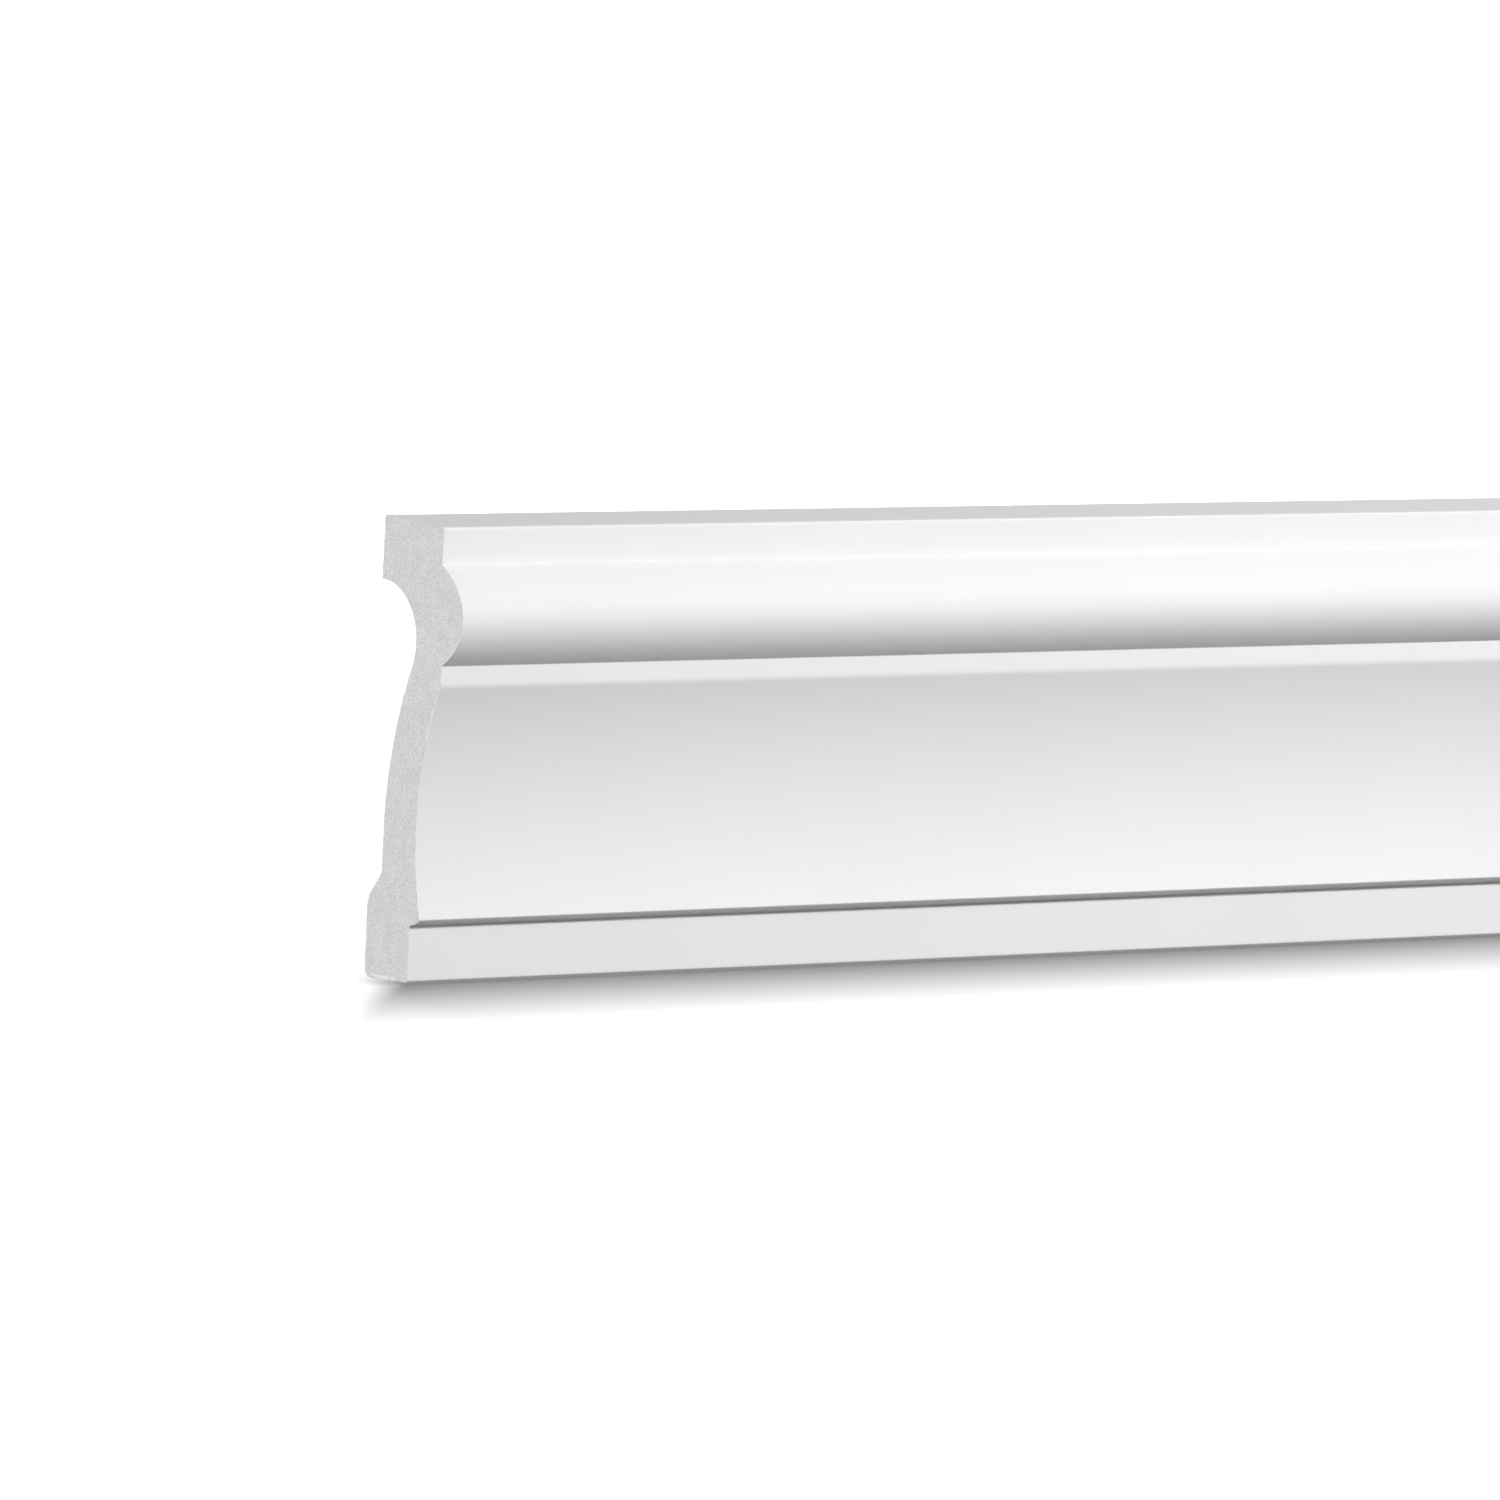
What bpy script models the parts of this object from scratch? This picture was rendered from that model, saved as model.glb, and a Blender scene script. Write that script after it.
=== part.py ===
"""Flexible wall moulding: one cast length with a bead, a fillet, a long cove and a lip, cut square at both ends.

The section is drawn as depth from the wall and height above the heel, and drawn out along X.
The wall plane is Y = 0, the room is on the -Y side, and the origin is the middle of the lower bonding face.
"""

import math

import bmesh
import bpy

# Overall sizes, in metres
LENGTH = 0.320
HEIGHT = 0.095
DEPTH = 0.028  # wall to the nose of the bead
DRAFT = math.radians(2.1)  # fall of the top face and rise of the bottom face, towards the room

# Face of the moulding: setbacks are measured from the nose of the bead
TOP_BAND_SETBACK = 0.0078
FILLET_SETBACK = 0.0065
LIP_SETBACK = 0.0100
FOOT_BAND_SETBACK = 0.0132
BEAD_DROP = 0.0191  # top edge down to the nose of the bead
BEAD_HALF_HEIGHT = 0.0137  # the bead is part of an ellipse centred inside the wall
BEAD_REACH = 0.0212
FILLET_HEIGHT = 0.0042
COVE_SAG = 0.0042  # how far the cove is hollowed behind its chord
LIP_HEIGHT = 0.0137  # heel up to the edge of the lip
QUIRK_HEIGHT = 0.0123  # heel up to the corner under the lip

# Back of the moulding
HOLLOW_DROP = 0.0252  # top edge down to the centre of the round hollow
HOLLOW_RADIUS = 0.0120
HOLLOW_INSET = 0.0004  # wall plane to the centre of the round hollow
RECESS_DEPTH = 0.0043  # recess behind the cove
SWEEP_RADIUS = 0.0900  # curve that leads from the recess into the hollow
SHOULDER_HEIGHT = 0.0220  # heel up to the foot of the recess
SHOULDER_ANGLE = math.radians(52)  # slope of the shoulder under the recess

# Softened edges
TOP_BACK_ROUND = 0.0006
TOP_FRONT_ROUND = 0.0006
FOOT_FRONT_ROUND = 0.0005
HEEL_ROUND = 0.0012
SHOULDER_TOP_ROUND = 0.0010
SHOULDER_FOOT_ROUND = 0.0045

ARC_STEP = math.radians(3)
SHARP_ANGLE = math.radians(20)
PRIMER_WHITE = (0.87, 0.87, 0.86, 1.0)


def turn(centre, radius_depth, radius_height, start, stop):
    """Points of an arc or elliptical arc. Angles run from the room (0) up (a quarter turn)."""
    steps = max(2, math.ceil(abs(stop - start) / ARC_STEP))
    angles = [start + (stop - start) * step / steps for step in range(steps + 1)]
    return [(centre[0] + radius_depth * math.cos(a), centre[1] + radius_height * math.sin(a)) for a in angles]


def hollowed(start, end, sag):
    """Points of the arc from start to end whose middle lies sag behind the chord, for an arc drawn upwards."""
    run, rise = end[0] - start[0], end[1] - start[1]
    chord = math.hypot(run, rise)
    radius = (chord * chord / 4 + sag * sag) / (2 * sag)
    middle = ((start[0] + end[0]) / 2, (start[1] + end[1]) / 2)
    to_centre = radius - sag
    centre = (middle[0] + rise / chord * to_centre, middle[1] - run / chord * to_centre)
    first = math.atan2(start[1] - centre[1], start[0] - centre[0]) % math.tau
    last = math.atan2(end[1] - centre[1], end[0] - centre[0]) % math.tau
    return turn(centre, radius, radius, first, last)


def softened(before, corner, after, radius):
    """Points of the round that replaces the corner between two straight edges."""
    towards = [(point[0] - corner[0], point[1] - corner[1]) for point in (before, after)]
    units = [(x / math.hypot(x, y), y / math.hypot(x, y)) for x, y in towards]
    half_angle = math.acos(units[0][0] * units[1][0] + units[0][1] * units[1][1]) / 2
    trim = radius / math.tan(half_angle)
    ends = [(corner[0] + x * trim, corner[1] + y * trim) for x, y in units]
    bisector = (units[0][0] + units[1][0], units[0][1] + units[1][1])
    reach = radius / math.sin(half_angle) / math.hypot(*bisector)
    centre = (corner[0] + bisector[0] * reach, corner[1] + bisector[1] * reach)
    first, last = (math.atan2(end[1] - centre[1], end[0] - centre[0]) for end in ends)
    swing = (last - first + math.pi) % math.tau - math.pi
    return turn(centre, radius, radius, first, first + swing)


def corners():
    """The main corners of the section, by name, as (depth, height)."""
    top_depth = DEPTH - TOP_BAND_SETBACK
    foot_depth = DEPTH - FOOT_BAND_SETBACK
    fillet_depth = DEPTH - FILLET_SETBACK
    bead_centre = (DEPTH - BEAD_REACH, HEIGHT - BEAD_DROP)
    bead_low = -math.acos((fillet_depth - bead_centre[0]) / BEAD_REACH)
    bead_high = math.acos((top_depth - bead_centre[0]) / BEAD_REACH)
    fillet_top = bead_centre[1] + BEAD_HALF_HEIGHT * math.sin(bead_low)
    return {
        "heel": (0.0, 0.0),
        "foot": (foot_depth, foot_depth * math.tan(DRAFT)),
        "quirk": (foot_depth, QUIRK_HEIGHT),
        "lip": (DEPTH - LIP_SETBACK, LIP_HEIGHT),
        "fillet_low": (fillet_depth, fillet_top - FILLET_HEIGHT),
        "bead_centre": bead_centre,
        "bead_angles": (bead_low, bead_high),
        "bead_top": (top_depth, bead_centre[1] + BEAD_HALF_HEIGHT * math.sin(bead_high)),
        "top_front": (top_depth, HEIGHT - top_depth * math.tan(DRAFT)),
        "top_back": (0.0, HEIGHT),
        "shoulder_foot": (0.0, SHOULDER_HEIGHT - RECESS_DEPTH * math.tan(SHOULDER_ANGLE)),
        "shoulder_top": (RECESS_DEPTH, SHOULDER_HEIGHT),
    }


def lip_underside(quirk, lip):
    """Points of the round that leaves the quirk level and rises to the edge of the lip."""
    run, rise = lip[0] - quirk[0], lip[1] - quirk[1]
    radius = (run * run + rise * rise) / (2 * rise)
    level = -math.pi / 2
    return turn((quirk[0], quirk[1] + radius), radius, radius, level, level + math.asin(run / radius))


def face_outline(at):
    """Room side of the section, from the foot up to the top front edge."""
    bead = turn(at["bead_centre"], BEAD_REACH, BEAD_HALF_HEIGHT, *at["bead_angles"])
    return (
        softened(at["heel"], at["foot"], at["quirk"], FOOT_FRONT_ROUND)
        + lip_underside(at["quirk"], at["lip"])[:-1]
        + hollowed(at["lip"], at["fillet_low"], COVE_SAG)
        + bead
        + softened(at["bead_top"], at["top_front"], at["top_back"], TOP_FRONT_ROUND)
    )


def back_outline(at):
    """Wall side of the section, from the heel up to the top back edge."""
    hollow = (HOLLOW_INSET, HEIGHT - HOLLOW_DROP)
    centre_gap = SWEEP_RADIUS + HOLLOW_RADIUS
    sweep_depth = RECESS_DEPTH + SWEEP_RADIUS
    join_angle = math.acos((sweep_depth - hollow[0]) / centre_gap)
    sweep = (sweep_depth, hollow[1] - centre_gap * math.sin(join_angle))
    mouth_angle = math.acos(-hollow[0] / HOLLOW_RADIUS)
    recess_end = (RECESS_DEPTH, sweep[1])
    return (
        softened(at["foot"], at["heel"], at["shoulder_foot"], HEEL_ROUND)
        + softened(at["heel"], at["shoulder_foot"], at["shoulder_top"], SHOULDER_FOOT_ROUND)
        + softened(at["shoulder_foot"], at["shoulder_top"], recess_end, SHOULDER_TOP_ROUND)
        + turn(sweep, SWEEP_RADIUS, SWEEP_RADIUS, math.pi, math.pi - join_angle)
        + turn(hollow, HOLLOW_RADIUS, HOLLOW_RADIUS, -join_angle, mouth_angle)[1:]
        + softened((0.0, hollow[1]), at["top_back"], at["top_front"], TOP_BACK_ROUND)
    )


def primed_polyurethane():
    """Matt white factory primer."""
    material = bpy.data.materials.new("primed_polyurethane")
    material.use_nodes = True
    shader = material.node_tree.nodes["Principled BSDF"]
    shader.inputs["Base Color"].default_value = PRIMER_WHITE
    shader.inputs["Roughness"].default_value = 0.5
    shader.inputs["Metallic"].default_value = 0.0
    return material


def make_moulding():
    """One closed body: the section as a face, drawn out along X."""
    at = corners()
    outline = face_outline(at) + back_outline(at)[::-1]
    mesh = bpy.data.meshes.new("wall_moulding")
    shape = bmesh.new()
    ring = [shape.verts.new((-LENGTH / 2, -depth, height)) for depth, height in outline]
    end_face = shape.faces.new(ring)
    drawn = bmesh.ops.extrude_face_region(shape, geom=[end_face], use_keep_orig=True)
    far_ring = [item for item in drawn["geom"] if isinstance(item, bmesh.types.BMVert)]
    bmesh.ops.translate(shape, verts=far_ring, vec=(LENGTH, 0.0, 0.0))
    bmesh.ops.recalc_face_normals(shape, faces=shape.faces)
    shape.to_mesh(mesh)
    shape.free()
    mesh.shade_smooth()
    mesh.set_sharp_from_angle(angle=SHARP_ANGLE)
    mesh.materials.append(primed_polyurethane())
    moulding = bpy.data.objects.new("wall_moulding", mesh)
    bond_middle = (HEEL_ROUND + at["shoulder_foot"][1]) / 2
    moulding.location = (0.0, 0.0, -bond_middle)
    bpy.context.scene.collection.objects.link(moulding)


for scene_object in list(bpy.data.objects):
    bpy.data.objects.remove(scene_object)
make_moulding()
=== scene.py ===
import math

import bpy
import numpy as np
from mathutils import Matrix, Vector


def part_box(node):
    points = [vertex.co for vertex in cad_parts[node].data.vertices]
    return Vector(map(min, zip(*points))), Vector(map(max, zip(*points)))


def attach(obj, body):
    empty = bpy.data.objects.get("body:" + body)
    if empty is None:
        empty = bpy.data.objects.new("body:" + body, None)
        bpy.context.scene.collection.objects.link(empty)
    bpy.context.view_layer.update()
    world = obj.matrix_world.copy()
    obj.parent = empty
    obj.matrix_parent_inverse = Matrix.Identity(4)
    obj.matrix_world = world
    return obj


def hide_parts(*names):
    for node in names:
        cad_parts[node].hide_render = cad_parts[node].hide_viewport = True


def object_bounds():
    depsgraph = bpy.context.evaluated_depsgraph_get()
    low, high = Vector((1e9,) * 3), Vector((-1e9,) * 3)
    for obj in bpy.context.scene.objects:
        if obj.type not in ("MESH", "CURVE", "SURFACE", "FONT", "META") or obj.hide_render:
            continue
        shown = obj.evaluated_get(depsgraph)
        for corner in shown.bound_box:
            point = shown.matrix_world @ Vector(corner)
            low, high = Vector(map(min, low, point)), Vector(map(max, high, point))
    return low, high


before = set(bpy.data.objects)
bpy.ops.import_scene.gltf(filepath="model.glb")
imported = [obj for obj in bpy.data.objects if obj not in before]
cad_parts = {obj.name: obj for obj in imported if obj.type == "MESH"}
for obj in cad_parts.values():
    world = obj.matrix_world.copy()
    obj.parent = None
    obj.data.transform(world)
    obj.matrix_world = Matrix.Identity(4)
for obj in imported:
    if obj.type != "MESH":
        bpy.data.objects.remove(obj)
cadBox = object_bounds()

mm = 0.001
white = (1.0, 1.0, 1.0, 1.0)
dice = np.random.default_rng(27)   # every random draw comes from here, always in the same order


def toLinear(hexColour):
    # "#rrggbb" as sRGB, turned to linear light with the sRGB curve, and an alpha of 1
    shades = [int(hexColour[place:place + 2], 16) / 255 for place in (1, 3, 5)]
    return [s / 12.92 if s <= 0.04045 else ((s + 0.055) / 1.055) ** 2.4 for s in shades] + [1.0]


def addNode(tree, kind, settings=None, inputs=None):
    # settings are the node's own properties; an input is a value, or a (node, output name) pair to link
    node = tree.nodes.new(kind)
    for name, value in (settings or {}).items():
        setattr(node, name, value)
    for name, value in (inputs or {}).items():
        if isinstance(value, tuple) and isinstance(value[0], bpy.types.Node):
            tree.links.new(value[0].outputs[value[1]], node.inputs[name])
        else:
            node.inputs[name].default_value = value
    return node


def newMaterial(name):
    material = bpy.data.materials.new(name)
    material.use_nodes = True
    tree = material.node_tree
    tree.nodes.clear()
    return material, tree


# The section of the moulding, as (depth from the wall, height above the heel) in mm.
# The sizes are those of the solid that this mesh dresses, whose length and depth are read from its box.
section = {
    "height": 95.0,
    "draft": 2.1,               # degrees: fall of the top, rise of the underside, towards the room
    "topBandSetback": 7.8,      # setbacks are from the nose of the bead
    "filletSetback": 6.5,
    "lipSetback": 10.0,
    "footBandSetback": 13.2,
    "beadDrop": 19.1,
    "beadHalfHeight": 13.7,
    "beadReach": 21.2,
    "filletHeight": 4.2,
    "coveSag": 4.2,
    "lipHeight": 13.7,
    "quirkHeight": 12.3,
    "hollowDrop": 25.2,
    "hollowRadius": 12.0,
    "hollowInset": 0.4,
    "recessDepth": 4.3,
    "sweepRadius": 90.0,
    "shoulderHeight": 22.0,
    "shoulderAngle": 52.0,      # degrees
    "topBackRound": 0.6,
    "topFrontRound": 0.6,
    "footFrontRound": 0.5,
    "heelRound": 1.2,
    "shoulderTopRound": 1.0,
    "shoulderFootRound": 4.5,
}
arcPoints = 300                 # on each arc of the outline, before it is walked in even steps


def arc(centre, radii, start, stop):
    # centre + (depth radius * cos a, height radius * sin a) for angles a evenly from start to stop
    a = np.linspace(start, stop, arcPoints)
    return np.column_stack((centre[0] + radii[0] * np.cos(a), centre[1] + radii[1] * np.sin(a)))


def hollowArc(start, end, sag):
    # the arc through start and end whose middle lies sag behind their chord:
    # radius = (quarter of the chord squared + sag squared) / (2 * sag), centre in front of the chord's middle
    start, end = np.array(start), np.array(end)
    run, rise = end - start
    chord = math.hypot(run, rise)
    radius = (chord * chord / 4 + sag * sag) / (2 * sag)
    centre = (start + end) / 2 + np.array((rise, -run)) / chord * (radius - sag)
    first, last = (math.atan2(*(point - centre)[::-1]) % math.tau for point in (start, end))
    return arc(centre, (radius, radius), first, last)


def roundCorner(before, corner, after, radius):
    # the arc that touches both edges of a corner: its centre is on their bisector, and
    # radius / sin(half angle) from the corner
    before, corner, after = (np.array(point, float) for point in (before, corner, after))
    towards = [(point - corner) / np.linalg.norm(point - corner) for point in (before, after)]
    halfAngle = math.acos(towards[0] @ towards[1]) / 2
    bisector = (towards[0] + towards[1]) / np.linalg.norm(towards[0] + towards[1])
    centre = corner + bisector * radius / math.sin(halfAngle)
    ends = [corner + side * radius / math.tan(halfAngle) for side in towards]
    first, last = (math.atan2(*(end - centre)[::-1]) for end in ends)
    swing = (last - first + math.pi) % math.tau - math.pi
    return arc(centre, (radius, radius), first, first + swing)


def lipUnderside(quirk, lip):
    # the arc that leaves the quirk level and rises to the lip: radius = (run^2 + rise^2) / (2 * rise)
    run, rise = lip[0] - quirk[0], lip[1] - quirk[1]
    radius = (run * run + rise * rise) / (2 * rise)
    level = -math.pi / 2
    return arc((quirk[0], quirk[1] + radius), (radius, radius), level, math.asin(run / radius) + level)


def sectionOutlines(s, depth):
    # The room side from the foot up to the top front edge, the wall side from the heel up to the top back
    # edge, the middle of the lower bonding face, and the two lines of the room side that are softened most
    fall = math.tan(math.radians(s["draft"]))
    topDepth, footDepth = depth - s["topBandSetback"], depth - s["footBandSetback"]
    filletDepth, lipDepth = depth - s["filletSetback"], depth - s["lipSetback"]
    heel, foot = (0, 0), (footDepth, footDepth * fall)
    quirk, lip = (footDepth, s["quirkHeight"]), (lipDepth, s["lipHeight"])
    topBack, topFront = (0, s["height"]), (topDepth, s["height"] - topDepth * fall)
    bead = (depth - s["beadReach"], s["height"] - s["beadDrop"])
    beadLow = -math.acos((filletDepth - bead[0]) / s["beadReach"])
    beadHigh = math.acos((topDepth - bead[0]) / s["beadReach"])
    filletLow = (filletDepth, bead[1] + s["beadHalfHeight"] * math.sin(beadLow) - s["filletHeight"])
    beadTop = (topDepth, bead[1] + s["beadHalfHeight"] * math.sin(beadHigh))
    room = [
        roundCorner(heel, foot, quirk, s["footFrontRound"]),
        lipUnderside(quirk, lip),
        hollowArc(lip, filletLow, s["coveSag"]),
        arc(bead, (s["beadReach"], s["beadHalfHeight"]), beadLow, beadHigh),
        roundCorner(beadTop, topFront, topBack, s["topFrontRound"]),
    ]
    slope = math.tan(math.radians(s["shoulderAngle"]))
    shoulderFoot = (0, s["shoulderHeight"] - s["recessDepth"] * slope)
    shoulderTop = (s["recessDepth"], s["shoulderHeight"])
    hollow = (s["hollowInset"], s["height"] - s["hollowDrop"])
    gap = s["sweepRadius"] + s["hollowRadius"]
    sweepDepth = s["recessDepth"] + s["sweepRadius"]
    join = math.acos((sweepDepth - hollow[0]) / gap)
    sweep = (sweepDepth, hollow[1] - gap * math.sin(join))
    mouth = math.acos(-hollow[0] / s["hollowRadius"])
    wall = [
        roundCorner(foot, heel, shoulderFoot, s["heelRound"]),
        roundCorner(heel, shoulderFoot, shoulderTop, s["shoulderFootRound"]),
        roundCorner(shoulderFoot, shoulderTop, (s["recessDepth"], sweep[1]), s["shoulderTopRound"]),
        arc(sweep, (s["sweepRadius"], s["sweepRadius"]), math.pi, math.pi - join),
        arc(hollow, (s["hollowRadius"], s["hollowRadius"]), -join, mouth),
        roundCorner((0, hollow[1]), topBack, topFront, s["topBackRound"]),
    ]
    bondMiddle = (s["heelRound"] + shoulderFoot[1]) / 2
    return np.vstack(room), np.vstack(wall), bondMiddle, (filletLow, beadTop)


# The mesh and its finish, in mm
moulding = {
    "edgeSoftness": 0.09,       # how far primer and the mould round every cast edge
    "lineSoftness": 0.45,       # and how far they round the fillet's lower edge and the corner over the bead
    "lineReach": 2.0,           # in full up to this far from the line, and no more from twice as far
    "lineShares": (1.0, 0.5),   # how fully each of the two lines is rounded
    "walkSteps": 90,            # points per mm while the outline is softened
    "turnWeight": 1.4,          # mm of length that one radian of turn counts for, where rows are shared out
    "rows": 470,
    "columns": 56,
    "stations": 22,
    "sharpAngle": 38.0,         # degrees between faces from which an edge stays sharp
    "sawnEdge": 0.05,           # the saw breaks the cut edge back by this much
    "raggedness": 0.14,         # and here and there, where the foam tears, by up to this much more
    "tearWaves": 30,
    "tearSizes": (0.9, 4.0),
    "tearFrom": 0.4,            # height of the waves from which the edge is torn
    "grainDepth": 0.035,        # the sawn grain is up to twice as deep
    "grainWaves": 60,
    "grainSizes": (0.9, 2.4),
    "poresPerArea": 0.30,       # open bubbles in each square mm of a cut end
    "poreRadii": (0.20, 0.36),
    "poreDepth": 0.4,           # as a share of the radius
    "grainMargin": 0.4,         # grain and bubbles fade out over this distance from the edge
    "rimFacing": 0.25,          # a light rim, the cut skin with a painted edge highlight, on the wall side and where the outline faces down
    "rimNone": 9.0,             # distance that stands for no rim
    "waviness": 0.03,           # the cast face sinks in and out along the length, by up to twice as much
    "faceWaves": 24,
    "waveLengths": (70.0, 190.0),
    "chipPlace": (0.3, 0.3),    # small chip at the heel of the left end, as (depth, height)
    "chipReach": 1.0,
    "chipDepth": 0.18,
    "chipPull": (0.75, 0.45, 0.45),   # the way it draws back, as (along, depth, height)
    "overspray": (2.5, 9.0),    # the primer thins out on the back between these distances from its edges
}


def smoothStep(values):
    # 0 up to 0, 1 from 1 on, and 3 v^2 - 2 v^3 between
    v = np.clip(values, 0, 1)
    return v * v * (3 - 2 * v)


def blurred(points, spread):
    # a running mean along evenly spaced points, weighted by a bell curve of that spread; both ends stay put
    bellReach = 3.5             # spreads to each side, past which the bell is next to nothing
    reach = math.ceil(bellReach * spread)
    bell = np.exp(-0.5 * (np.arange(-reach, reach + 1) / spread) ** 2)
    before = 2 * points[0] - points[reach:0:-1]
    after = 2 * points[-1] - points[-2:-reach - 2:-1]
    padded = np.vstack((before, points, after))
    return np.column_stack([np.convolve(padded[:, axis], bell / bell.sum(), "valid") for axis in (0, 1)])


def evenRows(outline, m, softLines=()):
    # The outline is walked in equal small steps and blurred along its length, which rounds every corner, and
    # the soft lines more. It is then walked again in steps of equal (length + turnWeight * angle turned).
    doubled = 1e-6              # mm between points that are one and the same
    gaps = np.hypot(*np.diff(outline, axis=0).T)
    outline = outline[np.append(True, gaps > doubled)]
    along = np.append(0, np.cumsum(np.hypot(*np.diff(outline, axis=0).T)))
    marks = np.linspace(0, along[-1], math.ceil(along[-1] * m["walkSteps"]))
    fine = np.column_stack([np.interp(marks, along, outline[:, axis]) for axis in (0, 1)])
    crisp = blurred(fine, m["edgeSoftness"] * m["walkSteps"])
    soft = blurred(fine, m["lineSoftness"] * m["walkSteps"])
    near = np.zeros(len(fine))
    for place, share in zip(softLines, m["lineShares"]):
        apart = np.linalg.norm(fine - place, axis=1) / m["lineReach"]
        near = np.maximum(near, share * smoothStep(2 - apart))
    fine = crisp + (soft - crisp) * near[:, None]
    steps = np.diff(fine, axis=0)
    headings = np.unwrap(np.arctan2(steps[:, 1], steps[:, 0]))
    turns = np.append(np.abs(np.diff(headings)), 0)
    measure = np.append(0, np.cumsum(np.hypot(*steps.T) + m["turnWeight"] * turns))
    picks = np.linspace(0, measure[-1], m["rows"] + 1)
    return np.column_stack([np.interp(picks, measure, fine[:, axis]) for axis in (0, 1)])


def waves(points, count, sizes):
    # a sum of plane cosine waves in random directions, with lengths between the two sizes and a spread of 1
    lengths = dice.uniform(sizes[0], sizes[1], count)
    angles, phases = dice.uniform(0, math.tau, count), dice.uniform(0, math.tau, count)
    pushes = math.tau / lengths * np.vstack((np.cos(angles), np.sin(angles)))
    return np.cos(points @ pushes + phases).sum(axis=1) / math.sqrt(count / 2)


def sectionRing(s, m, depth):
    # The section's closed outline (up the room side, across the top, down the wall side, across the
    # underside), the wall side's numbers in it, and the height of the middle of the lower bonding face
    room, wall, bondMiddle, softLines = sectionOutlines(s, depth)
    room, wall = evenRows(room, m, softLines), evenRows(wall, m)
    across = np.linspace(0, 1, m["columns"] + 1)[1:-1, None]
    top = room[-1] + (wall[-1] - room[-1]) * across
    under = wall[0] + (room[0] - wall[0]) * across
    back = len(room) + len(top) + np.arange(len(wall))
    return np.vstack((room, top, wall[::-1], under)), back, bondMiddle


def primerCover(ring, back, m):
    # 1 where the primer is whole and 0 where it has thinned out, by the way round the back from its edges
    steps = np.append(0, np.cumsum(np.hypot(*np.diff(ring[back], axis=0).T)))
    behind = np.zeros(len(ring))
    behind[back] = np.minimum(steps, steps[-1] - steps)
    whole, bare = m["overspray"]
    return 1 - smoothStep((behind - whole) / (bare - whole))


def ringInsets(ring, places, m):
    # How far the points of each ring lie inside the section. The room side, which comes first in the ring,
    # sinks in and out slowly along the length. Both sawn ends are broken back, and more where a finer wave is
    # high.
    spots = np.column_stack((np.repeat(places, len(ring)), np.tile(ring[:, 1], len(places))))
    rise = waves(spots, m["faceWaves"], m["waveLengths"]).reshape(len(places), len(ring))
    isRoom = np.arange(len(ring)) <= m["rows"]
    inset = m["waviness"] * np.clip(1 + rise / 2, 0, 2) * isRoom
    for end in (0, -1):
        torn = np.clip(waves(ring, m["tearWaves"], m["tearSizes"]) - m["tearFrom"], 0, 2) / 2
        inset[end] += m["sawnEdge"] + m["raggedness"] * torn
    return inset


def sawnRelief(points, fromEdge, m):
    # How far the sawn foam lies behind the cut: fine waves, and cut bubbles, mostly small ones, that are
    # bowls of depth poreDepth * radius * (1 - (distance / radius)^2). All of it fades out towards the edge.
    low, high = points.min(axis=0), points.max(axis=0)
    count = int(m["poresPerArea"] * np.prod(high - low))
    centres = dice.uniform(low, high, (count, 2))
    radii = m["poreRadii"][0] + (m["poreRadii"][1] - m["poreRadii"][0]) * dice.random(count) ** 3
    bowls = np.zeros(len(points))
    batch = 4000                # points at a time, to save memory
    for start in range(0, len(points), batch):
        some = points[start:start + batch]
        apart = ((some[:, None, :] - centres[None]) ** 2).sum(axis=2) / radii ** 2
        bowls[start:start + batch] = (m["poreDepth"] * radii * np.clip(1 - apart, 0, None)).max(axis=1)
    grain = m["grainDepth"] * (1 + np.clip(waves(points, m["grainWaves"], m["grainSizes"]) / 2, -1, 1))
    return (grain + bowls) * smoothStep(fromEdge / m["grainMargin"])


def cutEnd(edge, back, bareRim, m):
    # The points inside a cut end's edge, spread evenly over each row from the wall side to the room side,
    # with how far each lies behind the cut and how far it is from the light rim of cut skin and painted edge
    # highlight
    rows = m["rows"]
    share = np.linspace(0, 1, m["columns"] + 1)[None, 1:-1, None]
    wallEdge, roomEdge = edge[back[::-1]][1:-1, None], edge[:rows + 1][1:-1, None]
    flat = (wallEdge + (roomEdge - wallEdge) * share).reshape(-1, 2)
    width = np.linalg.norm(roomEdge - wallEdge, axis=2)
    fromWall, fromRoom = share[..., 0] * width, (1 - share[..., 0]) * width
    fromUnder, fromTop = flat[:, 1] - edge[0, 1], edge[rows, 1] - flat[:, 1]
    fromEdge = np.minimum(np.minimum(fromWall, fromRoom).ravel(), np.minimum(fromUnder, fromTop))
    behindCut = sawnRelief(flat, np.clip(fromEdge, 0, None), m)
    fromRoom = np.where(bareRim[1:rows, None], fromRoom, m["rimNone"])
    fromRim = np.minimum(np.minimum(fromWall, fromRoom).ravel(), np.abs(fromUnder))
    return flat, behindCut, fromRim


def endGrid(back, m, firstInside, shift):
    # The numbers of a cut end's points, by row upwards and by column from the wall side to the room side.
    # The border holds a ring's own points, shifted to that ring, and the points inside are numbered on.
    rows, columns = m["rows"], m["columns"]
    grid = np.zeros((rows + 1, columns + 1), int)
    grid[:, 0] = back[::-1]
    grid[:, columns] = np.arange(rows + 1)
    grid[rows, 1:columns] = rows + 1 + np.arange(columns - 1)[::-1]
    grid[0, 1:columns] = back[-1] + 1 + np.arange(columns - 1)
    grid += shift
    grid[1:-1, 1:-1] = firstInside + np.arange((rows - 1) * (columns - 1)).reshape(rows - 1, columns - 1)
    return grid


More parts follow.
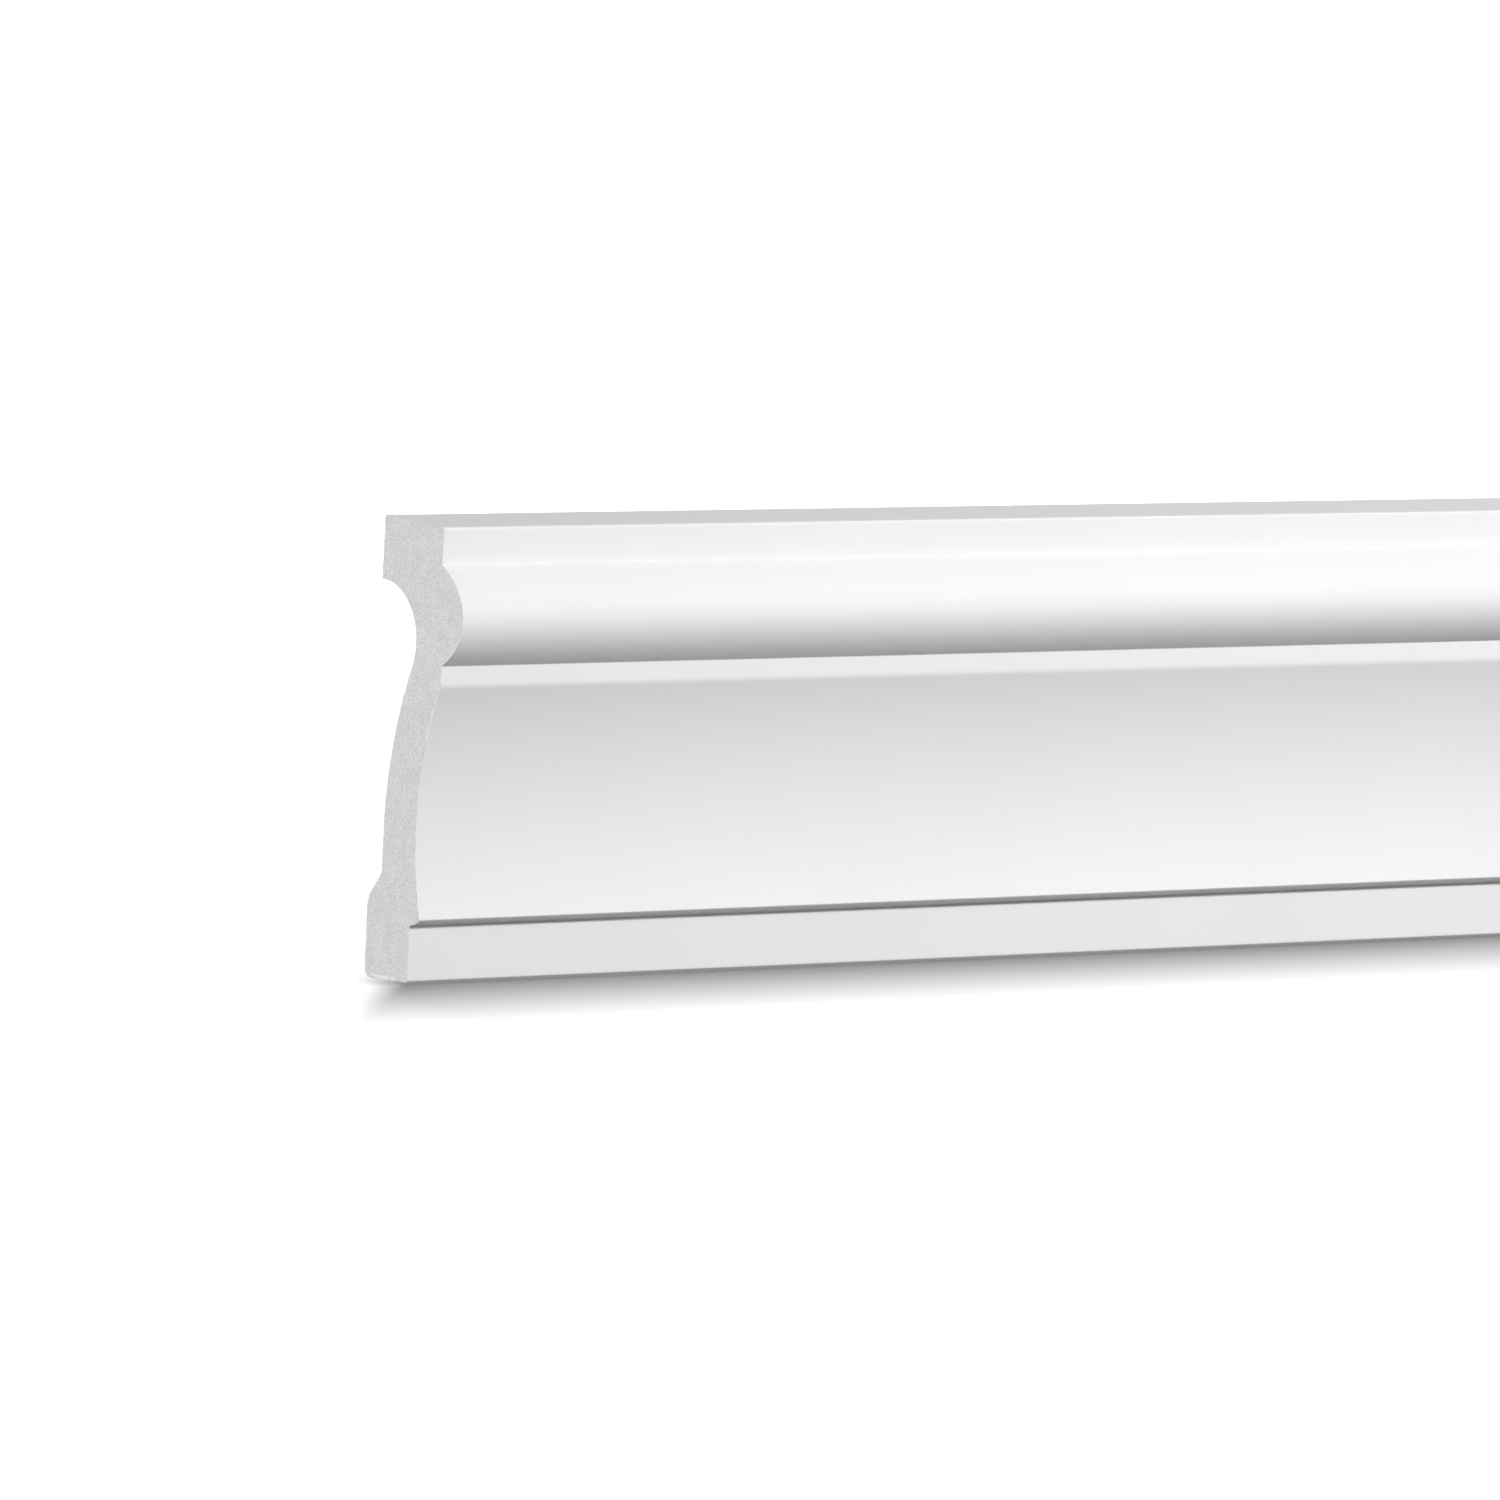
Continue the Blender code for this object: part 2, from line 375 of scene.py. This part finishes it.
def makeMoulding(s, m):
    # A closed ring, the section's outline, is carried along X. The two cut ends are grids between the wall
    # side and the room side, row by row, and share their borders with the first and the last ring.
    low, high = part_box("wall_moulding")
    halfLength = (high.x - low.x) / 2 / mm
    ring, back, bondMiddle = sectionRing(s, m, -low.y / mm)
    size = len(ring)

    # the way outwards at each point of the ring, from its neighbours on both sides
    run = np.roll(ring, -1, axis=0) - np.roll(ring, 1, axis=0)
    outward = np.column_stack((run[:, 1], -run[:, 0])) / np.hypot(*run.T)[:, None]
    # where the light rim shows, the cut skin with a painted edge highlight: the wall side and outlines facing
    # down
    bareRim = np.isin(np.arange(size), back) | (outward[:, 1] < -m["rimFacing"])

    # rings along X
    inner = np.linspace(-halfLength + m["sawnEdge"], halfLength - m["sawnEdge"], m["stations"] + 1)
    places = np.concatenate(([-halfLength], inner, [halfLength]))
    lastPlace = len(places) - 1
    rings = ring[None] - outward[None] * ringInsets(ring, places, m)[:, :, None]
    points = [np.column_stack((np.repeat(places, size), rings.reshape(-1, 2)))]
    coats = [np.tile(primerCover(ring, back, m), len(places))]
    rims = [np.tile(np.where(bareRim, 0, m["rimNone"]), len(places))]

    # faces between neighbouring rings, of which the first and the last strip are the broken edges of the foam
    ringId, placeId = np.meshgrid(np.arange(size), np.arange(lastPlace))
    a, b = placeId * size + ringId, placeId * size + (ringId + 1) % size
    quads = [np.stack((a, a + size, b + size, b), axis=-1).reshape(-1, 4)]
    slots = [np.isin(placeId, (0, lastPlace - 1)).astype(int).ravel()]

    # the two cut ends, whose faces turn opposite ways round
    taken = size * len(places)
    for side, place in ((-1, 0), (1, lastPlace)):
        flat, behindCut, fromRim = cutEnd(rings[place], back, bareRim, m)
        points.append(np.column_stack((side * (halfLength - behindCut), flat)))
        coats.append(np.zeros(len(flat)))
        rims.append(fromRim)
        grid = endGrid(back, m, taken, size * place)
        corners = [grid[:-1, :-1], grid[:-1, 1:], grid[1:, 1:], grid[1:, :-1]]
        endQuads = np.stack(corners[::-side], axis=-1).reshape(-1, 4)
        quads.append(endQuads)
        slots.append(np.ones(len(endQuads), int))
        taken += len(flat)
    points, quads = np.vstack(points), np.vstack(quads)

    # the chip: points within its reach draw back, by chipDepth * (1 - (distance / reach)^2)
    chip = np.array((-halfLength, *m["chipPlace"]))
    apart = np.linalg.norm(points - chip, axis=1) / m["chipReach"]
    bite = np.clip(1 - apart ** 2, 0, 1)
    points = points + m["chipDepth"] * bite[:, None] * np.array(m["chipPull"])
    rims = np.concatenate(rims) * (1 - bite)

    # (x, depth, height) in mm become the frame's x, -y and z in metres
    placed = np.column_stack((points[:, 0], -points[:, 1], points[:, 2] - bondMiddle)) * mm
    mesh = bpy.data.meshes.new("moulding_body")
    mesh.from_pydata(placed.tolist(), [], quads.tolist())
    mesh.polygons.foreach_set("material_index", np.concatenate(slots))
    for name, values in (("primerCoat", np.concatenate(coats)), ("rimDistance", rims)):
        mesh.attributes.new(name, "FLOAT", "POINT").data.foreach_set("value", values.astype(np.float32))
    mesh.shade_smooth()
    mesh.set_sharp_from_angle(angle=math.radians(m["sharpAngle"]))
    mesh.update()
    body = bpy.data.objects.new("moulding_body", mesh)
    bpy.context.scene.collection.objects.link(body)
    return body


# Skin of the moulding: flexible polyurethane, cast in a closed mould and sprayed with white primer
skin = {
    "primer": "#E9E9E9",
    "primerShade": "#E5E5E5",
    "bareCast": "#E6E4DE",
    "cloudSize": 34.0,          # mm, slow changes of tone
    "mistSize": 1.6,            # mm, specks of spray where the primer thins out
    "mistBand": (0.25, 0.75),   # levels of (coat + mist) between bare casting and whole primer
    "peelSize": 1.3,            # mm, orange peel of the sprayed primer
    "peelHeight": 0.010,        # mm
    "dustSize": 0.35,           # mm, dry grain of the primer, drawn a little coarser than it is
    "dustHeight": 0.004,        # mm
    "roughness": (0.66, 0.76),
    "ior": 1.5,
}


def primedPolyurethane(k):
    # Sprayed primer: a soft, even white sheen with faint orange peel. Where it thins out over the back,
    # the bare casting shows, a little warmer.
    material, tree = newMaterial("primed_polyurethane_skin")
    place = addNode(tree, "ShaderNodeTexCoord")
    clouds = addNode(tree, "ShaderNodeTexNoise", {}, {
        "Vector": (place, "Object"), "Scale": 1 / (k["cloudSize"] * mm), "Detail": 2.0})
    primer = addNode(tree, "ShaderNodeMix", {"data_type": "RGBA"}, {
        "Factor": (clouds, "Fac"), 6: toLinear(k["primerShade"]), 7: toLinear(k["primer"])})
    coat = addNode(tree, "ShaderNodeAttribute", {"attribute_name": "primerCoat"})
    mist = addNode(tree, "ShaderNodeTexNoise", {}, {
        "Vector": (place, "Object"), "Scale": 1 / (k["mistSize"] * mm), "Detail": 4.0, "Roughness": 0.65})
    specks = addNode(tree, "ShaderNodeMath", {"operation": "SUBTRACT"}, {0: (mist, "Fac"), 1: 0.5})
    misted = addNode(tree, "ShaderNodeMath", {"operation": "ADD"}, {0: (coat, "Fac"), 1: (specks, "Value")})
    cover = addNode(tree, "ShaderNodeMapRange", {}, {
        "Value": (misted, "Value"), "From Min": k["mistBand"][0], "From Max": k["mistBand"][1]})
    colour = addNode(tree, "ShaderNodeMix", {"data_type": "RGBA"}, {
        "Factor": (cover, "Result"), 6: toLinear(k["bareCast"]), 7: (primer, 2)})
    peel = addNode(tree, "ShaderNodeTexNoise", {}, {
        "Vector": (place, "Object"), "Scale": 1 / (k["peelSize"] * mm), "Detail": 1.0})
    dust = addNode(tree, "ShaderNodeTexNoise", {}, {
        "Vector": (place, "Object"), "Scale": 1 / (k["dustSize"] * mm), "Detail": 2.0})
    peelBump = addNode(tree, "ShaderNodeBump", {}, {
        "Height": (peel, "Fac"), "Distance": k["peelHeight"] * mm, "Strength": 1.0})
    dustBump = addNode(tree, "ShaderNodeBump", {}, {
        "Height": (dust, "Fac"), "Distance": k["dustHeight"] * mm, "Strength": 1.0,
        "Normal": (peelBump, "Normal")})
    gloss = addNode(tree, "ShaderNodeMapRange", {}, {
        "Value": (peel, "Fac"), "To Min": k["roughness"][0], "To Max": k["roughness"][1]})
    shader = addNode(tree, "ShaderNodeBsdfPrincipled", {}, {
        "Base Color": (colour, 2), "Roughness": (gloss, "Result"), "IOR": k["ior"],
        "Normal": (dustBump, "Normal")})
    addNode(tree, "ShaderNodeOutputMaterial", {}, {"Surface": (shader, "BSDF")})
    return material


# The cut ends: the same polyurethane sawn through, a fine closed foam with a denser rim that carries a
# painted edge highlight
foam = {
    "light": "#EEEEEE",
    "dark": "#CBCBCB",
    # the rim's colour: the cut skin, lightened into a painted edge highlight
    "rim": "#FAFAFA",
    "rimWidth": 0.45,           # mm
    "rimBreaks": 3.0,           # mm, length of the stretches where the rim shows or is torn away
    "breakBand": (0.40, 0.60),  # levels of that pattern between torn away and whole
    "cellSize": 0.50,           # mm, cut cells, drawn coarser than the real 0.1 to 0.2 so that they show
    "patchSize": 3.2,           # mm, denser and lighter patches
    "patchShare": 0.24,         # their weight beside that of the cells
    "speckleBand": (0.41, 0.77),    # levels of (patches + cells) between dark and light
    "fleckSize": 0.42,          # mm, single cells that are torn open and look darker
    "fleckBand": (0.60, 0.72),  # levels of that pattern between no fleck and a full one
    "fleckDepth": 0.75,         # how much of the way to the dark tone a fleck goes
    "cellHeight": 0.05,         # mm
    "cellBump": 0.8,
    "roughness": 0.92,
    "ior": 1.5,
}


def sawnFoam(k):
    # Sawn foam: dry and matt, speckled by the cut cells, with hardly any gloss, and a lighter line where the
    # dense skin is cut through, made lighter still by a painted edge highlight
    material, tree = newMaterial("sawn_polyurethane_foam")
    place = addNode(tree, "ShaderNodeTexCoord")
    cells = addNode(tree, "ShaderNodeTexNoise", {}, {
        "Vector": (place, "Object"), "Scale": 1 / (k["cellSize"] * mm), "Detail": 2.0, "Roughness": 0.75})
    patches = addNode(tree, "ShaderNodeTexNoise", {}, {
        "Vector": (place, "Object"), "Scale": 1 / (k["patchSize"] * mm), "Detail": 2.0})
    tone = addNode(tree, "ShaderNodeMath", {"operation": "MULTIPLY_ADD"}, {
        0: (patches, "Fac"), 1: k["patchShare"], 2: (cells, "Fac")})
    speckle = addNode(tree, "ShaderNodeMapRange", {}, {
        "Value": (tone, "Value"), "From Min": k["speckleBand"][0], "From Max": k["speckleBand"][1]})
    torn = addNode(tree, "ShaderNodeTexNoise", {}, {
        "Vector": (place, "Object"), "Scale": 1 / (k["fleckSize"] * mm), "Detail": 1.0, "Distortion": 0.6})
    flecks = addNode(tree, "ShaderNodeMapRange", {}, {
        "Value": (torn, "Fac"), "From Min": k["fleckBand"][0], "From Max": k["fleckBand"][1],
        "To Min": 1.0, "To Max": 1 - k["fleckDepth"]})
    level = addNode(tree, "ShaderNodeMath", {"operation": "MULTIPLY"}, {
        0: (speckle, "Result"), 1: (flecks, "Result")})
    body = addNode(tree, "ShaderNodeMix", {"data_type": "RGBA"}, {
        "Factor": (level, "Value"), 6: toLinear(k["dark"]), 7: toLinear(k["light"])})
    depth = addNode(tree, "ShaderNodeAttribute", {"attribute_name": "rimDistance"})
    nearRim = addNode(tree, "ShaderNodeMapRange", {"interpolation_type": "SMOOTHSTEP"}, {
        "Value": (depth, "Fac"), "From Min": k["rimWidth"], "From Max": 0.0})
    breaks = addNode(tree, "ShaderNodeTexNoise", {}, {
        "Vector": (place, "Object"), "Scale": 1 / (k["rimBreaks"] * mm), "Detail": 2.0})
    whole = addNode(tree, "ShaderNodeMapRange", {}, {
        "Value": (breaks, "Fac"), "From Min": k["breakBand"][0], "From Max": k["breakBand"][1]})
    rim = addNode(tree, "ShaderNodeMath", {"operation": "MULTIPLY"}, {
        0: (nearRim, "Result"), 1: (whole, "Result")})
    colour = addNode(tree, "ShaderNodeMix", {"data_type": "RGBA"}, {
        "Factor": (rim, "Value"), 6: (body, 2), 7: toLinear(k["rim"])})
    bump = addNode(tree, "ShaderNodeBump", {}, {
        "Height": (cells, "Fac"), "Distance": k["cellHeight"] * mm, "Strength": k["cellBump"]})
    shader = addNode(tree, "ShaderNodeBsdfPrincipled", {}, {
        "Base Color": (colour, 2), "Roughness": k["roughness"], "IOR": k["ior"], "Normal": (bump, "Normal")})
    addNode(tree, "ShaderNodeOutputMaterial", {}, {"Surface": (shader, "BSDF")})
    return material


print("moulding: mesh")
body = makeMoulding(section, moulding)
print("moulding: finishes")
body.data.materials.append(primedPolyurethane(skin))
body.data.materials.append(sawnFoam(foam))
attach(body, "root")
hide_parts("wall_moulding")

# Camera: a long lens, a little above the moulding and to its left
view = {
    "lens": 300.0,              # mm
    "sensor": 36.0,             # mm wide
    "clip": (0.1, 100.0),       # metres, nearest and farthest that it sees
    "yaw": 38.52,               # degrees from +Y towards +X
    "pitch": 5.764,             # degrees down
    "roll": 2.825,              # degrees, anticlockwise about the line of sight
    "aim": (-0.07786, -0.0200, 0.03801),    # metres, the point in the middle of the picture
    "distance": 2.58984,        # metres from there
}


def makeCamera(v):
    turned = (Matrix.Rotation(math.radians(-v["yaw"]), 4, "Z")
              @ Matrix.Rotation(math.radians(90 - v["pitch"]), 4, "X")
              @ Matrix.Rotation(math.radians(v["roll"]), 4, "Z"))
    data = bpy.data.cameras.new("camera")
    data.lens, data.sensor_width = v["lens"], v["sensor"]
    data.clip_start, data.clip_end = v["clip"]
    camera = bpy.data.objects.new("camera", data)
    camera.matrix_world = turned
    camera.location = Vector(v["aim"]) + turned.col[2].to_3d() * v["distance"]
    bpy.context.scene.collection.objects.link(camera)
    bpy.context.scene.camera = camera


# Studio: places in metres, as (to the right, towards the wall, up) from the moulding's origin
studio = {
    "key": {"place": (0.25, -1.10, 0.65), "size": 0.24, "watts": 15.0},
    "leftFill": {"place": (-2.19, 0.0, 0.16), "size": 0.6, "watts": 32.0},
    "topFill": {"place": (0.90, 0.52, 0.60), "size": 0.6, "watts": 1.4},
    "rightFill": {"place": (2.16, 0.38, 0.14), "size": 0.5, "watts": 18.0},
    "backFill": {"place": (0.70, 2.08, 0.14), "size": 0.5, "watts": 34.0},
    "skyAbove": 0.245,
    "skyBelow": 0.19,
    "horizonBlend": 0.3,        # height of the direction, up and down, over which the two skies blend
    "floorReach": 5.0,
    "floorColour": "#6E6E6E",   # what the lights find; its own glow makes the floor white
    "floorRoughness": 0.9,
    "paintedShadeGlow": 0.11,          # the glow in the deepest painted shade, at the foot of the moulding
    "paintedShadeReach": {"front": 0.070, "back": 0.004, "ends": 0.013},  # metres from the moulding to the full glow, where the painted shade ends
    "paintedShadeLean": 0.9,           # metres that the painted shade drifts to the left with each metre in front
    "backdropRadius": 4.0,
    "backdropRise": 1.2,        # radians up and down from the horizon
    "backdropFaces": (48, 24),  # round and up
    "backdropGlow": 1.1,
}


def makeLight(name, k):
    # a round lamp that shines at the moulding's origin
    data = bpy.data.lights.new(name, "AREA")
    data.shape, data.size, data.energy = "DISK", k["size"], k["watts"]
    lamp = bpy.data.objects.new(name, data)
    lamp.location = k["place"]
    lamp.rotation_euler = (-lamp.location).to_track_quat("-Z", "Y").to_euler()
    bpy.context.scene.collection.objects.link(lamp)


def makeSky(k):
    # plain grey light from above, fading across the horizon to a dimmer one from below
    world = bpy.data.worlds.new("studio")
    world.use_nodes = True
    tree = world.node_tree
    tree.nodes.clear()
    place = addNode(tree, "ShaderNodeTexCoord")
    height = addNode(tree, "ShaderNodeSeparateXYZ", {}, {"Vector": (place, "Generated")})
    level = addNode(tree, "ShaderNodeMapRange", {"interpolation_type": "SMOOTHSTEP"}, {
        "Value": (height, "Z"), "From Min": -k["horizonBlend"], "From Max": k["horizonBlend"],
        "To Min": k["skyBelow"], "To Max": k["skyAbove"]})
    glow = addNode(tree, "ShaderNodeBackground", {}, {"Color": white, "Strength": (level, "Result")})
    addNode(tree, "ShaderNodeOutputWorld", {}, {"Surface": (glow, "Background")})
    bpy.context.scene.world = world


def stageMesh(name, points, faces, material):
    # part of the studio: the camera sees it, and it throws no light on the moulding
    mesh = bpy.data.meshes.new(name)
    mesh.from_pydata(points, [], faces)
    mesh.materials.append(material)
    piece = bpy.data.objects.new(name, mesh)
    piece.visible_diffuse = False
    piece.visible_glossy = False
    bpy.context.scene.collection.objects.link(piece)
    return piece


def makeFloor(k, footDepth):
    # A floor at the moulding's lowest point. A soft shade is painted into its own glow, not cast by the
    # lamps:
    # grey close to the foot, and white further out. The glow is that at the foot plus the length of (how far
    # past the ends, in front, behind), each as a share of its own reach.
    low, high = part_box("wall_moulding")
    shade, reach = k["paintedShadeReach"], k["floorReach"]
    material, tree = newMaterial("pale_studio_floor")
    place = addNode(tree, "ShaderNodeTexCoord")
    sides = addNode(tree, "ShaderNodeSeparateXYZ", {}, {"Vector": (place, "Object")})
    inFront = addNode(tree, "ShaderNodeMapRange", {}, {
        "Value": (sides, "Y"), "From Min": -footDepth, "From Max": -footDepth - shade["front"]})
    behind = addNode(tree, "ShaderNodeMapRange", {}, {
        "Value": (sides, "Y"), "From Min": -footDepth, "From Max": high.y + shade["back"]})
    drifted = addNode(tree, "ShaderNodeMath", {"operation": "MULTIPLY_ADD"}, {
        0: (inFront, "Result"), 1: shade["front"] * k["paintedShadeLean"], 2: (sides, "X")})
    aside = addNode(tree, "ShaderNodeMath", {"operation": "ABSOLUTE"}, {0: (drifted, "Value")})
    pastEnds = addNode(tree, "ShaderNodeMapRange", {}, {
        "Value": (aside, "Value"), "From Min": high.x, "From Max": high.x + shade["ends"]})
    shares = addNode(tree, "ShaderNodeCombineXYZ", {}, {
        "X": (pastEnds, "Result"), "Y": (inFront, "Result"), "Z": (behind, "Result")})
    away = addNode(tree, "ShaderNodeVectorMath", {"operation": "LENGTH"}, {0: (shares, "Vector")})
    # painted shade: the floor glows least at the moulding's foot
    glow = addNode(tree, "ShaderNodeMath", {"operation": "ADD"}, {0: (away, "Value"), 1: k["paintedShadeGlow"]})
    paint = addNode(tree, "ShaderNodeBsdfPrincipled", {}, {
        "Base Color": toLinear(k["floorColour"]), "Roughness": k["floorRoughness"],
        "Emission Color": white, "Emission Strength": (glow, "Value")})
    addNode(tree, "ShaderNodeOutputMaterial", {}, {"Surface": (paint, "BSDF")})
    corners = [(x * reach, y * reach, low.z) for x, y in ((-1, -1), (1, -1), (1, 1), (-1, 1))]
    stageMesh("floor", corners, [(0, 1, 2, 3)], material)


def makeBackdrop(k):
    # a white dome around the studio: points (r cos u cos v, r sin u cos v, r sin v)
    r, rise = k["backdropRadius"], k["backdropRise"]
    around, up = k["backdropFaces"]
    u, v = np.meshgrid(np.linspace(0, math.tau, around + 1)[:-1], np.linspace(-rise, rise, up + 1))
    points = np.stack((r * np.cos(u) * np.cos(v), r * np.sin(u) * np.cos(v), r * np.sin(v)), axis=-1)
    ring, level = np.meshgrid(np.arange(around), np.arange(up))
    a, b = level * around + ring, level * around + (ring + 1) % around
    faces = np.stack((a, a + around, b + around, b), axis=-1)
    material, tree = newMaterial("white_backdrop")
    glow = addNode(tree, "ShaderNodeEmission", {}, {"Color": white, "Strength": k["backdropGlow"]})
    addNode(tree, "ShaderNodeOutputMaterial", {}, {"Surface": (glow, "Emission")})
    backdrop = stageMesh("backdrop", points.reshape(-1, 3).tolist(), faces.reshape(-1, 4).tolist(), material)
    backdrop.visible_shadow = False
    backdrop.visible_transmission = False


print("camera, floor and lights")
makeCamera(view)
makeFloor(studio, -cadBox[0][1] - section["footBandSetback"] * mm)
makeBackdrop(studio)
makeSky(studio)
for lightName in ("key", "leftFill", "topFill", "rightFill", "backFill"):
    makeLight(lightName, studio[lightName])
bpy.context.scene.view_settings.view_transform = "Standard"

print("scene ready")
